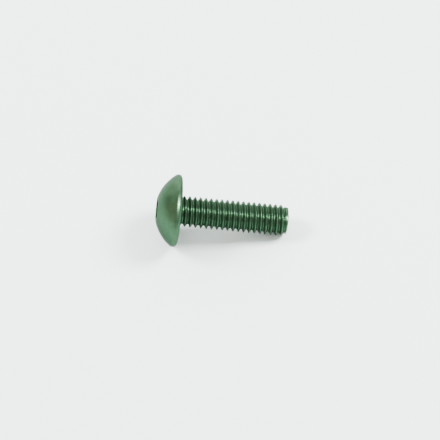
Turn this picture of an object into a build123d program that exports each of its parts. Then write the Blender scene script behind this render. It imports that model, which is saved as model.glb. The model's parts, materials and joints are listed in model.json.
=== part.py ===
from build123d import *
import os
from math import acos, atan2, ceil, cos, degrees, hypot, radians, sqrt, tan

# A button head screw, M6 x 1.0 x 20, with a hexagon socket, made in one piece.
# Lengths are in millimetres and angles in degrees.  The screw is built upright, with
# its axis along Z, the bearing face of the head at Z = 0, the head below it and the
# point above.  It is then laid down the way it rests on a level floor.

# thread
PITCH = 1.0
THREAD_DIAMETER = 5.80      # over the crests
CREST_WIDTH = 0.125
ROOT_WIDTH = 0.166          # flat at the bottom of the groove
FLANK_ANGLE = 60.0          # between the two flanks of the groove

# shank
SHANK_LENGTH = 20.15        # bearing face to point
CONE_DIAMETER = 5.85        # of the cone under the head, where it meets the bearing face
CONE_HEIGHT = 0.90          # at 45 degrees: its tip is inside the thread
BLANK_DIAMETER = 5.15       # plain stretch that the thread grows from, inside the head
BLANK_LENGTH = 0.12         # of that plain stretch
BLANK_DEPTH = 0.97          # of its end below the bearing face
FAINT_FLANK = 0.03          # width of the flanks where the thread begins
TAPER_LENGTH = 0.50         # over which the crests fall at the point
POINT_DIAMETER = 5.0        # over the crests at the point
POINT_LENGTH = 0.55         # from the end of the taper to the end of the screw
POINT_CHAMFER = 0.16

# head
HEAD_DIAMETER = 13.45
HEAD_HEIGHT = 4.15
RIM_HEIGHT = 0.915          # where the dome meets the rim
LAND_DIAMETER = 4.72        # flat around the socket
BEARING_ROUNDING = 0.56     # between the bearing face and the rim
RIM_ROUNDING = 0.41         # between the rim and the dome

# hexagon socket
SOCKET_FLATS = 4.0
SOCKET_DEPTH = 2.6
SOCKET_MOUTH = 4.5          # diameter of the countersink
SOCKET_MOUTH_ANGLE = 120.0
SOCKET_DRILL_ANGLE = 120.0  # of the cone below the hexagon

# how far round the screw has rolled: where a crest line passes its underside
UNDERSIDE_CREST = 0.43      # from the bearing face, give or take whole pitches

thread_radius = THREAD_DIAMETER / 2
cone_radius = CONE_DIAMETER / 2
blank_radius = BLANK_DIAMETER / 2
point_radius = POINT_DIAMETER / 2
head_radius = HEAD_DIAMETER / 2
land_radius = LAND_DIAMETER / 2

# the groove in a section through the axis, and the crest where the thread begins
flank_slope = tan(radians(FLANK_ANGLE / 2))
groove_depth = (PITCH - CREST_WIDTH - ROOT_WIDTH) / 2 / flank_slope
root_radius = thread_radius - groove_depth
first_crest = BLANK_LENGTH - BLANK_DEPTH + FAINT_FLANK + PITCH / 4

# the taper, on which the crests fall towards the point
taper_start = SHANK_LENGTH - POINT_LENGTH - TAPER_LENGTH
taper_slope = (thread_radius - point_radius) / TAPER_LENGTH


def thread_corners(turn):
    """Radius and station of the crest's two edges and the groove's, as a turn begins.

    The thread begins flush with the blank, crest and groove equally wide, and has its
    full form one turn later.
    """
    if turn == 0:
        crest_radius, groove_radius = blank_radius, blank_radius
        half_crest, flank_width = PITCH / 4, FAINT_FLANK
    else:
        crest_radius, groove_radius = thread_radius, root_radius
        half_crest, flank_width = CREST_WIDTH / 2, groove_depth * flank_slope
    crest = first_crest + turn * PITCH
    half_ridge = half_crest + flank_width
    return [
        (crest_radius, crest - half_crest),
        (crest_radius, crest + half_crest),
        (groove_radius, crest + half_ridge),
        (groove_radius, crest + PITCH - half_ridge),
    ]


def one_turn(start, end):
    """Right-hand helix of one turn between two places given by radius and station."""
    growth = end[0] - start[0]
    rise = end[1] - start[1]
    helix = Edge.make_helix(hypot(rise, growth), rise, start[0], angle=degrees(atan2(growth, rise)))
    return Pos(0, 0, start[1]) * helix


def threaded_rod():
    """Thread from inside the head to past the point: helical faces, filled to a solid."""
    turns = ceil((SHANK_LENGTH - first_crest) / PITCH) + 1
    corners = [thread_corners(turn) for turn in range(turns + 2)]
    foot = (blank_radius, corners[0][0][1] - FAINT_FLANK)
    edges = [one_turn(foot, corners[0][3])]
    for here, above in zip(corners[:-2], corners[1:-1]):
        edges += [one_turn(start, end) for start, end in zip(here, above)]
    edges.append(one_turn(corners[-2][0], corners[-1][0]))
    skin = [Face.make_surface_from_curves(low, high) for low, high in zip(edges, edges[1:])]

    blank_end = Edge.make_circle(blank_radius, Plane.XY.offset(-BLANK_DEPTH))
    skin += [Face(Wire([blank_end])), Face.make_surface_from_curves(blank_end, edges[0])]

    low_end, high_end = (0, corners[-2][0][1]), (0, corners[-1][0][1])
    axis = Edge.make_line((0, 0, low_end[1]), (0, 0, high_end[1]))
    step = make_face(Polyline(low_end, *corners[-2], corners[-1][0], high_end, close=True))
    skin += [Face.make_surface_from_curves(edges[-1], axis), (Plane.XZ * step).face()]
    return Solid(Shell(skin))


def around_point():
    """What lies outside the taper, the chamfer and the end of the screw."""
    clear = 4 * PITCH   # past the rod's spare turns
    outline = Polyline(
        (thread_radius + clear, taper_start - clear / taper_slope),
        (point_radius, taper_start + TAPER_LENGTH),
        (point_radius, SHANK_LENGTH - POINT_CHAMFER),
        (point_radius - POINT_CHAMFER, SHANK_LENGTH),
        (0, SHANK_LENGTH),
        (0, SHANK_LENGTH + clear),
        (thread_radius + clear, SHANK_LENGTH + clear),
        close=True,
    )
    return revolve(Plane.XZ * make_face(outline), Axis.Z)


def shank():
    """Thread and point, turned so that a crest faces the floor where it should."""
    turn = 360 * (first_crest - UNDERSIDE_CREST) / PITCH
    return Rot(0, 0, turn) * (threaded_rod() - around_point())


def head_outline():
    """Half section of the head: radius across, distance along the axis upward."""
    centre = (head_radius**2 + RIM_HEIGHT**2 - land_radius**2 - HEAD_HEIGHT**2) / (
        2 * (HEAD_HEIGHT - RIM_HEIGHT)
    )
    dome_radius = hypot(head_radius, centre + RIM_HEIGHT)
    middle_radius = (head_radius + land_radius) / 2
    middle = (middle_radius, centre - sqrt(dome_radius**2 - middle_radius**2))
    straight = Polyline(
        (land_radius, -HEAD_HEIGHT),
        (0, -HEAD_HEIGHT),
        (0, CONE_HEIGHT),
        (cone_radius - CONE_HEIGHT, CONE_HEIGHT),
        (cone_radius, 0),
        (head_radius, 0),
        (head_radius, -RIM_HEIGHT),
    )
    dome = ThreePointArc((head_radius, -RIM_HEIGHT), middle, (land_radius, -HEAD_HEIGHT))
    outline = make_face(straight + dome)
    corners = outline.vertices().group_by(Axis.X)[-1].sort_by(Axis.Y)
    outline = fillet(corners[-1], BEARING_ROUNDING)
    return fillet(outline.vertices().group_by(Axis.X)[-1].sort_by(Axis.Y)[0], RIM_ROUNDING)


def socket():
    """Cavity of the hexagon socket, with its countersink and drilled floor."""
    corner_radius = SOCKET_FLATS / 2 / cos(radians(30))
    hexagon = extrude(Pos(0, 0, -HEAD_HEIGHT) * RegularPolygon(corner_radius, 6), SOCKET_DEPTH)
    drill_depth = SOCKET_FLATS / 2 / tan(radians(SOCKET_DRILL_ANGLE / 2))
    drill = Pos(0, 0, SOCKET_DEPTH - HEAD_HEIGHT) * Solid.make_cone(SOCKET_FLATS / 2, 0, drill_depth)
    mouth_height = SOCKET_MOUTH / 2 / tan(radians(SOCKET_MOUTH_ANGLE / 2))
    mouth = Pos(0, 0, -HEAD_HEIGHT) * Solid.make_cone(SOCKET_MOUTH / 2, 0, mouth_height)
    return hexagon + drill + mouth


def resting_tilt():
    """Slope of the axis when the head's edge and the thread near the point are on a floor."""
    half_crest = CREST_WIDTH / 2
    full_crest = UNDERSIDE_CREST + (taper_start - half_crest - UNDERSIDE_CREST) // PITCH * PITCH
    fall = flank_slope * taper_slope
    cut_crest = (full_crest + PITCH - half_crest + fall * taper_start) / (1 + fall)
    contacts = [
        (full_crest + half_crest, thread_radius),
        (cut_crest, thread_radius - taper_slope * (cut_crest - taper_start)),
    ]
    tilts = []
    for station, radius in contacts:
        along = station + BEARING_ROUNDING
        across = head_radius - BEARING_ROUNDING - radius
        tilts.append(acos(-BEARING_ROUNDING / hypot(across, along)) - atan2(along, across))
    return degrees(min(tilts))


head = revolve(Plane.XZ * head_outline(), Axis.Z)
screw = head + shank() - socket()
tilt = resting_tilt()
screw = Rot(0, 90 + tilt, 0) * screw

os.makedirs("parts", exist_ok=True)
export_step(screw, "parts/screw.step")
print(f"resting tilt {tilt:.2f} degrees, floor {screw.bounding_box().min.Z:.3f} mm below the axis")
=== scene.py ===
import json
from math import atan2, cos, degrees, hypot, pi, radians, sin, sqrt, tan

import bmesh
import bpy
from mathutils import Matrix, Vector
from numpy import interp


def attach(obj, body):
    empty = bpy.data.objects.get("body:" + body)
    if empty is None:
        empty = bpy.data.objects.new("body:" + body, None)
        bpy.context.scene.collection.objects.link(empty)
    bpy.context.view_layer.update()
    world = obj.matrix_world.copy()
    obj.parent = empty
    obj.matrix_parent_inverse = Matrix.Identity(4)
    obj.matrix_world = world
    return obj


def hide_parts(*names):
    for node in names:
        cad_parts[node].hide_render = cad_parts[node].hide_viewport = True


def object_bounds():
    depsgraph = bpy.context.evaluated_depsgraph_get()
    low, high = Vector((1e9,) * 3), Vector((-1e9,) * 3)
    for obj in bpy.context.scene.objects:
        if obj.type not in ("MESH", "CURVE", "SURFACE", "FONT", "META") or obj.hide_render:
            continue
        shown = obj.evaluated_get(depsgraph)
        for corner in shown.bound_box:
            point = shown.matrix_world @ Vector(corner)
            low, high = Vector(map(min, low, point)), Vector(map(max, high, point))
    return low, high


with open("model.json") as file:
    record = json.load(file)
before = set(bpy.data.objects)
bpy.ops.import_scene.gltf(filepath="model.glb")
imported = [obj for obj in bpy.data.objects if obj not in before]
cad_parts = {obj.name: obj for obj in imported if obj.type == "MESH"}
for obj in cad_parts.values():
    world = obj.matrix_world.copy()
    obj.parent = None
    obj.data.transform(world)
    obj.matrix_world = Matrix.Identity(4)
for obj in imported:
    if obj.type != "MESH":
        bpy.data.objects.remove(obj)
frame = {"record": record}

cad_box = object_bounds()
MM = 0.001

# ---------------------------------------------------------------- sizes, in millimetres
PITCH = 1.0
THREAD_RADIUS = 2.90
CREST_WIDTH = 0.125
CREST_ROUNDING = 0.108              # tangent to both flanks, inside the crest's corners
ROOT_WIDTH = 0.166
ROOT_ROUNDING = 0.144
FLANK_ANGLE = radians(30)           # of each flank, from square across the axis
UNDERSIDE_CREST = 0.43              # where a crest line passes the side on the floor

SHANK_LENGTH = 20.15
CONE_RADIUS = 2.925                 # where the cone under the head meets the bearing face
BLANK_RADIUS = 2.575                # what the thread grows from, inside the head
FIRST_CREST = -0.57                 # where it begins to grow, for a full turn
FAINT_FLANK = 0.03
TAPER_LENGTH = 0.50
POINT_RADIUS = 2.50
POINT_LENGTH = 0.55
POINT_ROUNDING = 0.18

HEAD_RADIUS = 6.725
HEAD_HEIGHT = 4.15
RIM_HEIGHT = 0.915
LAND_RADIUS = 2.36
BEARING_ROUNDING = 0.56
RIM_ROUNDING = 0.41

SOCKET_FLATS = 4.0
SOCKET_DEPTH = 2.6
SOCKET_MOUTH_RADIUS = 2.25
SOCKET_SLOPE = tan(radians(30))     # depth over radius, of the mouth and the drilled floor

# ---------------------------------------------------------------- how finely it is meshed
COLUMNS = 168                       # vertices around the screw
CREST_SHARES = (0, 0.4, 0.75, 1)    # vertices from the middle of a crest to its edge
FLANK_STEPS = 4
ROOT_STEPS = 8
DOME_STEPS = 28
RIM_STEPS = 8
BEARING_STEPS = 12                  # of the rounding at the bearing face
FACE_STEPS = 4                      # across the bearing face
DRILL_SHARES = (0.25, 0.5, 0.75, 1.0)
FLATS_SHARES = (0.0, 0.5, 1.0)
END_RINGS = (1.8, 1.1, 0.4)         # radii of the rings of vertices across the end
MERGE_DISTANCE = 1e-5
SHORTEST_EDGE = 1e-6
SMOOTH_BELOW = radians(32)          # sharper edges stay sharp

flank_slope = tan(FLANK_ANGLE)
root_radius = THREAD_RADIUS - (PITCH - CREST_WIDTH - ROOT_WIDTH) / 2 / flank_slope
point_start = SHANK_LENGTH - POINT_LENGTH
taper_start = point_start - TAPER_LENGTH
PITCHES_INSIDE = 2                  # worked out inside the head, and again past the point


# ---------------------------------------------------------------- the screw's surface
def between(start, end, share):
    """Value a share of the way from start to end, and never past either."""
    return start + (end - start) * min(max(share, 0), 1)


def blend(start, end, share):
    """Place a share of the way from one (radius, station) to another."""
    return tuple(between(a, b, share) for a, b in zip(start, end))


def full_ridge():
    """Half section of the full thread from a crest to the foot of the next flank."""
    crest_edge = CREST_ROUNDING * cos(FLANK_ANGLE)
    top = THREAD_RADIUS - CREST_ROUNDING
    crest = [crest_edge * share for share in CREST_SHARES]
    points = [(top + sqrt(CREST_ROUNDING**2 - away**2), away) for away in crest]
    bottom = root_radius + ROOT_ROUNDING
    root_edge = ROOT_ROUNDING * cos(FLANK_ANGLE)
    root = []
    for step in range(ROOT_STEPS + 1):
        away = root_edge * (2 * step / ROOT_STEPS - 1)
        root.append((bottom - sqrt(ROOT_ROUNDING**2 - away**2), PITCH / 2 + away))
    flank = [blend(points[-1], root[0], step / FLANK_STEPS) for step in range(1, FLANK_STEPS)]
    return points + flank + root


def first_ridge():
    """The same points where the thread begins, flush with the blank."""
    crest = PITCH / 4
    foot = crest + FAINT_FLANK
    places = [crest * share for share in CREST_SHARES]
    places += [between(crest, foot, step / FLANK_STEPS) for step in range(1, FLANK_STEPS)]
    places += [between(foot, PITCH - foot, step / ROOT_STEPS) for step in range(ROOT_STEPS + 1)]
    return [(BLANK_RADIUS, place) for place in places]


def one_pitch(turn, first, full):
    """Half section from a crest, this many turns from the first, up to the next crest."""
    ridge = [blend(start, end, turn) for start, end in zip(first, full)]
    crest = len(CREST_SHARES)
    above = [blend(start, end, turn + 1) for start, end in zip(first[:crest], full[:crest])]
    next_crest = [(radius, PITCH - away) for radius, away in reversed(above[1:])]
    flank = [blend(ridge[-1], next_crest[0], step / FLANK_STEPS) for step in range(1, FLANK_STEPS)]
    return ridge + flank + next_crest


def envelope(station):
    """Largest radius at a station: over the crests, the taper, the point and its rounded end."""
    reached = max(0, station - (SHANK_LENGTH - POINT_ROUNDING))
    drop = POINT_ROUNDING - sqrt(max(0, POINT_ROUNDING**2 - reached**2))
    return between(THREAD_RADIUS, POINT_RADIUS, (station - taper_start) / TAPER_LENGTH) - drop


def shank_line(turn, first, full):
    """Radii and stations from the bearing face to the end, at this share of a turn round."""
    start = UNDERSIDE_CREST + PITCH * (turn - PITCHES_INSIDE)
    stations, radii = [], []
    for pitch in range(int(SHANK_LENGTH / PITCH) + 2 * PITCHES_INSIDE):
        crest = start + PITCH * pitch
        for radius, away in one_pitch((crest - FIRST_CREST) / PITCH, first, full):
            stations.append(crest + away)
            radii.append(radius)
    clipped = [min(max(station, 0), SHANK_LENGTH) for station in stations]
    return [(max(CONE_RADIUS - station, min(radius, envelope(station))), station)
            for station, radius in zip(clipped, interp(clipped, stations, radii))]


def arc(across, station, radius, start, end, steps):
    """Points (radius, station) of an arc in the half section, with angles in degrees."""
    angles = [radians(start + (end - start) * step / steps) for step in range(steps + 1)]
    return [(across + radius * cos(angle), station + radius * sin(angle)) for angle in angles]


def head_profile():
    """Half section from the edge of the socket's land, over the dome, to the shank."""
    middle = (HEAD_RADIUS**2 + RIM_HEIGHT**2 - LAND_RADIUS**2 - HEAD_HEIGHT**2) / (
        2 * (HEAD_HEIGHT - RIM_HEIGHT)
    )
    dome = hypot(HEAD_RADIUS, middle + RIM_HEIGHT)
    rim_across = HEAD_RADIUS - RIM_ROUNDING
    rim_station = middle - sqrt((dome - RIM_ROUNDING) ** 2 - rim_across**2)
    land_angle = degrees(atan2(-HEAD_HEIGHT - middle, LAND_RADIUS))
    rim_angle = degrees(atan2(rim_station - middle, rim_across))
    bearing_across = HEAD_RADIUS - BEARING_ROUNDING
    points = arc(0, middle, dome, land_angle, rim_angle, DOME_STEPS)
    points += arc(rim_across, rim_station, RIM_ROUNDING, rim_angle, 0, RIM_STEPS)[1:]
    points += arc(bearing_across, -BEARING_ROUNDING, BEARING_ROUNDING, 0, 90, BEARING_STEPS)
    for step in range(1, FACE_STEPS + 1):
        points.append((between(bearing_across, CONE_RADIUS, step / FACE_STEPS), 0))
    return points


def flats_radius(turn):
    """Radius of the socket's hexagon, with a corner on the underside."""
    return SOCKET_FLATS / 2 / cos((turn * 2 * pi) % (pi / 3) - pi / 6)


def socket_rings():
    """Rings of the socket, from the middle of its drilled floor out to the mouth's edge."""
    floor = SOCKET_DEPTH - HEAD_HEIGHT
    bore = SOCKET_FLATS / 2

    def mouth(turn):
        return -HEAD_HEIGHT + max(0, SOCKET_MOUTH_RADIUS - flats_radius(turn)) * SOCKET_SLOPE

    rings = []
    for share in DRILL_SHARES:
        depth = floor + bore * (1 - share) * SOCKET_SLOPE
        rings.append([(bore * share, depth)] * COLUMNS)
    turns = [column / COLUMNS for column in range(COLUMNS)]
    for share in FLATS_SHARES:
        rings.append([(flats_radius(turn), between(floor, mouth(turn), share)) for turn in turns])
    edge = [max(SOCKET_MOUTH_RADIUS, flats_radius(turn)) for turn in turns]
    rings.append([(radius, -HEAD_HEIGHT) for radius in edge])
    return rings


def screw_mesh():
    """The whole screw as one closed mesh, along X from the head to the point."""
    mesh = bmesh.new()

    def vertex(radius, station, turn):
        angle = 2 * pi * turn
        return mesh.verts.new((station, radius * sin(angle), -radius * cos(angle)))

    def ring(points):
        return [vertex(radius, station, column / COLUMNS)
                for column, (radius, station) in enumerate(points)]

    def bridge(near, far):
        for column in range(COLUMNS):
            following = (column + 1) % COLUMNS
            mesh.faces.new((near[column], far[column], far[following], near[following]))

    def fan(centre, edge, flip):
        for column in range(COLUMNS):
            pair = [edge[column], edge[(column + 1) % COLUMNS]]
            mesh.faces.new([centre] + (pair[::-1] if flip else pair))

    rings = [ring(points) for points in socket_rings()]
    rings += [ring([point] * COLUMNS) for point in head_profile()]
    for near, far in zip(rings, rings[1:]):
        bridge(near, far)
    drill_depth = SOCKET_FLATS / 2 * SOCKET_SLOPE
    fan(vertex(0, SOCKET_DEPTH - HEAD_HEIGHT + drill_depth, 0), rings[0], False)

    full = full_ridge()
    first = first_ridge()
    grid = [[vertex(radius, station, column / COLUMNS)
             for radius, station in shank_line(column / COLUMNS, first, full)]
            for column in range(COLUMNS)]
    pitch_rows = len(one_pitch(0, first, full))
    for column in range(COLUMNS):
        near = grid[column]
        far = grid[(column + 1) % COLUMNS]
        shift = pitch_rows if column == COLUMNS - 1 else 0
        for row in range(len(near) - 1 - shift):
            beside = row + shift
            mesh.faces.new((near[row], near[row + 1], far[beside + 1], far[beside]))
    outer = [line[-1] for line in grid]
    for radius in END_RINGS:
        inner = ring([(radius, SHANK_LENGTH)] * COLUMNS)
        bridge(outer, inner)
        outer = inner
    fan(vertex(0, SHANK_LENGTH, 0), outer, True)
    bmesh.ops.remove_doubles(mesh, verts=mesh.verts, dist=MERGE_DISTANCE)
    bmesh.ops.dissolve_degenerate(mesh, dist=SHORTEST_EDGE, edges=mesh.edges)
    bmesh.ops.recalc_face_normals(mesh, faces=mesh.faces)
    return mesh


# ---------------------------------------------------------------- materials
METAL_SHARE = 0.82                              # the rest is the dye's own matt colour
DARK_DYE = (0.033, 0.071, 0.040, 1)
LIGHT_DYE = (0.041, 0.088, 0.050, 1)
EDGE_TINT = (0.51, 0.50, 0.51, 1)               # of the metal where it is seen edge-on
MOTTLE_SCALE = 900
MOTTLE_DETAIL = 4
MOTTLE_RANGE = (0.3, 0.7)                       # from dark to light dye
SMOOTHEST, ROUGHEST = 0.30, 0.38
BOARD_COLOUR = (0.72, 0.84, 0.81, 1)
BOARD_ROUGHNESS = 0.6


def anodised_aluminium():
    """Dyed green oxide over bright metal: mostly metal, with a little of the dye's own colour."""
    material = bpy.data.materials.new("green_anodised_aluminium")
    material.use_nodes = True
    nodes = material.node_tree.nodes
    links = material.node_tree.links
    shader = nodes["Principled BSDF"]
    shader.inputs["Metallic"].default_value = METAL_SHARE
    shader.inputs["Specular IOR Level"].default_value = 0
    shader.inputs["Specular Tint"].default_value = EDGE_TINT

    place = nodes.new("ShaderNodeTexCoord")
    along = nodes.new("ShaderNodeMapping")
    along.inputs["Rotation"].default_value = (0, -tilt, 0)
    links.new(place.outputs["Object"], along.inputs["Vector"])

    mottle = nodes.new("ShaderNodeTexNoise")
    mottle.inputs["Scale"].default_value = MOTTLE_SCALE
    mottle.inputs["Detail"].default_value = MOTTLE_DETAIL
    links.new(along.outputs["Vector"], mottle.inputs["Vector"])
    colour = nodes.new("ShaderNodeValToRGB")
    dyes = zip(colour.color_ramp.elements, MOTTLE_RANGE, (DARK_DYE, LIGHT_DYE))
    for element, position, dye in dyes:
        element.position = position
        element.color = dye
    links.new(mottle.outputs["Fac"], colour.inputs["Fac"])
    links.new(colour.outputs["Color"], shader.inputs["Base Color"])
    rough = nodes.new("ShaderNodeMapRange")
    rough.inputs["To Min"].default_value = SMOOTHEST
    rough.inputs["To Max"].default_value = ROUGHEST
    links.new(mottle.outputs["Fac"], rough.inputs["Value"])
    links.new(rough.outputs["Result"], shader.inputs["Roughness"])
    return material


def floor_board():
    """Matt white board."""
    material = bpy.data.materials.new("white_board")
    material.use_nodes = True
    shader = material.node_tree.nodes["Principled BSDF"]
    shader.inputs["Base Color"].default_value = BOARD_COLOUR
    shader.inputs["Roughness"].default_value = BOARD_ROUGHNESS
    return material


# ---------------------------------------------------------------- the piece
axis = Vector(next(m["axis"] for m in frame["record"]["mounts"] if m["name"] == "thread"))
tilt = atan2(-axis.z, axis.x)
shape = screw_mesh()
shape.transform(Matrix.Rotation(tilt, 4, "Y") @ Matrix.Scale(MM, 4))
mesh = bpy.data.meshes.new("button_head_screw")
shape.to_mesh(mesh)
shape.free()
mesh.shade_smooth()
mesh.set_sharp_from_angle(angle=SMOOTH_BELOW)
screw = bpy.data.objects.new("button_head_screw", mesh)
bpy.context.scene.collection.objects.link(screw)
mesh.materials.append(anodised_aluminium())
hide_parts("screw")
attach(screw, "root")

# ---------------------------------------------------------------- floor, light and camera
FLOOR_SIZE = 1.2
ROOM_COLOUR = (1.0, 0.92, 0.88, 1)
ROOM_DIMMEST, ROOM_BRIGHTEST = 0.15, 1.0        # the room is darker on the head's side
ROOM_BRIGHT_FROM = -0.3                         # and evenly bright from here along X
LIT_POINT = Vector((0.008, 0, 0))
LAMP_DISTANCE = 0.5

bpy.ops.mesh.primitive_plane_add(size=FLOOR_SIZE, location=(0, 0, cad_box[0][2]))
floor = bpy.context.object
floor.name = "floor"
floor.data.materials.append(floor_board())

world = bpy.data.worlds.new("studio")
bpy.context.scene.world = world
world.use_nodes = True
direction = world.node_tree.nodes.new("ShaderNodeTexCoord")
across = world.node_tree.nodes.new("ShaderNodeSeparateXYZ")
room = world.node_tree.nodes.new("ShaderNodeMapRange")
room.inputs["From Min"].default_value = -1.0
room.inputs["From Max"].default_value = ROOM_BRIGHT_FROM
room.inputs["To Min"].default_value = ROOM_DIMMEST
room.inputs["To Max"].default_value = ROOM_BRIGHTEST
background = world.node_tree.nodes["Background"]
background.inputs["Color"].default_value = ROOM_COLOUR
world.node_tree.links.new(direction.outputs["Generated"], across.inputs["Vector"])
world.node_tree.links.new(across.outputs["X"], room.inputs["Value"])
world.node_tree.links.new(room.outputs["Result"], background.inputs["Strength"])


def softbox(name, direction, size, power, colour=(1, 1, 1), mirrored=True, diffuse=True):
    """Square lamp facing the screw, at an azimuth and elevation in degrees.

    It can be kept out of the metal's reflections, or left to show only in them.
    """
    azimuth, elevation = (radians(angle) for angle in direction)
    level = cos(elevation)
    towards = Vector((level * sin(azimuth), -level * cos(azimuth), sin(elevation)))
    light = bpy.data.lights.new(name, "AREA")
    light.size = size
    light.energy = power
    light.color = colour
    lamp = bpy.data.objects.new(name, light)
    lamp.location = LIT_POINT + towards * LAMP_DISTANCE
    lamp.rotation_euler = towards.to_track_quat("Z", "Y").to_euler()
    lamp.visible_glossy = mirrored
    lamp.visible_diffuse = diffuse
    bpy.context.scene.collection.objects.link(lamp)


softbox("left", (-95, 46), 0.20, 6.9, mirrored=False)
softbox("right", (100, 46), 0.20, 8.7, mirrored=False)
softbox("front", (50, 40), 0.30, 0.9, mirrored=False)
softbox("behind", (-178, 24), 0.60, 4.5)
softbox("back_wall", (-142, 18), 0.42, 1.4, colour=(1.0, 0.92, 0.82))
softbox("left_wall", (-76, 18), 0.50, 0.9, colour=(1.0, 0.74, 0.50))
softbox("key", (38, 66), 0.06, 12.5, diffuse=False)

# The camera looks down on the screw from the front, a little from the point's side.
CAMERA_AZIMUTH = radians(-4.11)
CAMERA_ELEVATION = radians(50)
CAMERA_ROLL = radians(5.22)
HEAD_IN_VIEW = Vector((-0.0075699, 0.0016685, -0.3499617))  # bearing face's centre, camera axes
FOCAL_PIXELS = 1896.2
IMAGE_PIXELS = 440
SENSOR_WIDTH = 36
NEAREST, FARTHEST = 0.01, 10                # that the camera sees

forward = Vector((
    cos(CAMERA_ELEVATION) * sin(CAMERA_AZIMUTH),
    cos(CAMERA_ELEVATION) * cos(CAMERA_AZIMUTH),
    -sin(CAMERA_ELEVATION),
))
level_view = forward.to_track_quat("-Z", "Y").to_matrix()
facing = level_view @ Matrix.Rotation(-CAMERA_ROLL, 3, "Z")
view = bpy.data.cameras.new("camera")
view.sensor_fit = "HORIZONTAL"
view.sensor_width = SENSOR_WIDTH
view.lens = FOCAL_PIXELS * view.sensor_width / IMAGE_PIXELS
view.clip_start = NEAREST
view.clip_end = FARTHEST
camera = bpy.data.objects.new("camera", view)
camera.matrix_world = Matrix.Translation(-(facing @ HEAD_IN_VIEW)) @ facing.to_4x4()
bpy.context.scene.collection.objects.link(camera)
bpy.context.scene.camera = camera
